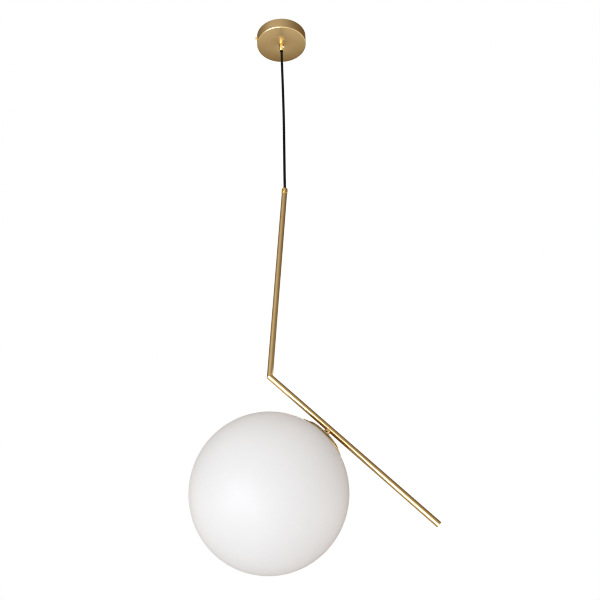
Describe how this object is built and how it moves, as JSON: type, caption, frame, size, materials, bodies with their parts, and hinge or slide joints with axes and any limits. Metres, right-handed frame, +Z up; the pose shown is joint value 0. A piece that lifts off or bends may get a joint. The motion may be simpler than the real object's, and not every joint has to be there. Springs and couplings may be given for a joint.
{
  "type": "pendant ceiling light",
  "caption": "Pendant ceiling light: round brass canopy, black cord, thin brass tube bent to a sharp elbow, and an opal glass globe held off the lower tube.",
  "frame": {"origin": "centre of the ceiling plane, on the top face of the ceiling bracket, on the line that the cord hangs on", "axes": "+Z up, into the ceiling; the bent tube lies in the X-Z plane, +X towards the free end of the lower tube; the globe hangs towards -X of that tube; +Y is away from the viewer of the front"},
  "size_m": [0.4655, 0.2994, 1.2933],
  "materials": {
    "brass_satin": "satin",
    "brass_bright": "polished",
    "chrome": "polished",
    "steel": "satin",
    "steel_dark": "satin",
    "zinc": "satin",
    "nickel": "satin",
    "black_rubber": "matte",
    "black_cord": "satin",
    "silicone": "matte",
    "black_plastic": "satin",
    "white_plastic": "satin",
    "lead_brown": "satin",
    "lead_blue": "satin",
    "lead_green": "satin",
    "lead_white": "satin",
    "opal_glass": "satin",
    "bulb_glass": "matte"
  },
  "bodies": {
    "canopy": {"ceiling_bracket": "zinc", "earth_screw": "brass_bright", "earth_washer": "brass_bright", "canopy_cup": "brass_satin", "side_grub_screw": "brass_bright", "cord_grip": "brass_bright", "grip_washer": "steel", "grip_nut": "steel", "grip_bush": "black_rubber", "terminal_block": "white_plastic", "terminal_screw_live": "steel", "terminal_screw_neutral": "steel", "cord_inlet": "black_cord", "lead_live": "lead_brown", "lead_neutral": "lead_blue", "lead_earth": "lead_green"},
    "side_screw": {"side_screw": "brass_bright"},
    "grip_screw": {"grip_screw": "chrome"},
    "cord_upper": {"cord_top": "black_cord"},
    "cord_lower": {"cord": "black_cord"},
    "cord_bottom": {"cord_foot": "black_cord"},
    "lamp": {"stem_ferrule": "brass_bright", "ferrule_screw": "steel", "cord_end": "black_cord", "upper_tube": "brass_satin", "lower_tube": "brass_satin", "arm_end_plug": "brass_satin", "neck_spacer": "brass_satin", "neck_grub_screw": "steel_dark", "threaded_nipple": "zinc", "holder_cap": "brass_satin", "gallery": "brass_satin", "nipple_washer": "steel", "nipple_nut": "steel", "lampholder_cap": "black_plastic", "lampholder_body": "black_plastic", "lampholder_shell": "brass_bright", "lampholder_contact": "brass_bright", "twin_lead": "lead_white"},
    "globe_seat": {"globe_gasket": "silicone"},
    "globe": {"globe": "opal_glass", "globe_collar": "brass_satin"},
    "bulb_tip": {"bulb_contact": "steel"},
    "bulb": {"bulb_base": "nickel", "bulb_envelope": "bulb_glass"}
  },
  "joints": [
    {"name": "side_screw_turn", "type": "hinge", "parent": "canopy", "child": "side_screw", "pos_m": [-0.05678, -0.00497, -0.009], "axis": [-0.9962, -0.0872, 0], "continuous": true},
    {"name": "grip_screw_turn", "type": "hinge", "parent": "canopy", "child": "grip_screw", "pos_m": [0, 0, -0.0385], "axis": [0.7071, -0.7071, 0], "continuous": true},
    {"name": "swing_front_back", "type": "hinge", "parent": "canopy", "child": "cord_upper", "pos_m": [0, 0, -0.0533], "axis": [1, 0, 0], "range_deg": [-30, 30]},
    {"name": "swing_side", "type": "hinge", "parent": "cord_upper", "child": "cord_lower", "pos_m": [0, 0, -0.0593], "axis": [0, 1, 0], "range_deg": [-30, 30]},
    {"name": "drop_adjust", "type": "slide", "parent": "cord_lower", "child": "cord_bottom", "axis": [0, 0, 1], "range_m": [0, 0.2], "deforming": ["cord"]},
    {"name": "lamp_twist", "type": "hinge", "parent": "cord_bottom", "child": "lamp", "pos_m": [0, 0, -0.456], "axis": [0, 0, 1], "range_deg": [-180, 180]},
    {"name": "globe_removal", "type": "slide", "parent": "lamp", "child": "globe_seat", "axis": [-0.7015, 0, -0.7126], "range_m": [0, 0.15]},
    {"name": "globe_turn", "type": "hinge", "parent": "globe_seat", "child": "globe", "pos_m": [0.07589, 0, -1.02301], "axis": [-0.7015, 0, -0.7126], "range_deg": [0, 20]},
    {"name": "bulb_travel", "type": "slide", "parent": "lamp", "child": "bulb_tip", "axis": [-0.7015, 0, -0.7126], "range_m": [0, 0.0109]},
    {"name": "bulb_turn", "type": "hinge", "parent": "bulb_tip", "child": "bulb", "pos_m": [0.07589, 0, -1.02301], "axis": [-0.7015, 0, -0.7126], "range_deg": [0, 1080]}
  ],
  "couplings": [
    {"joint": "bulb_travel", "follows": "bulb_turn", "m_per_rad": 0.00057773}
  ]
}
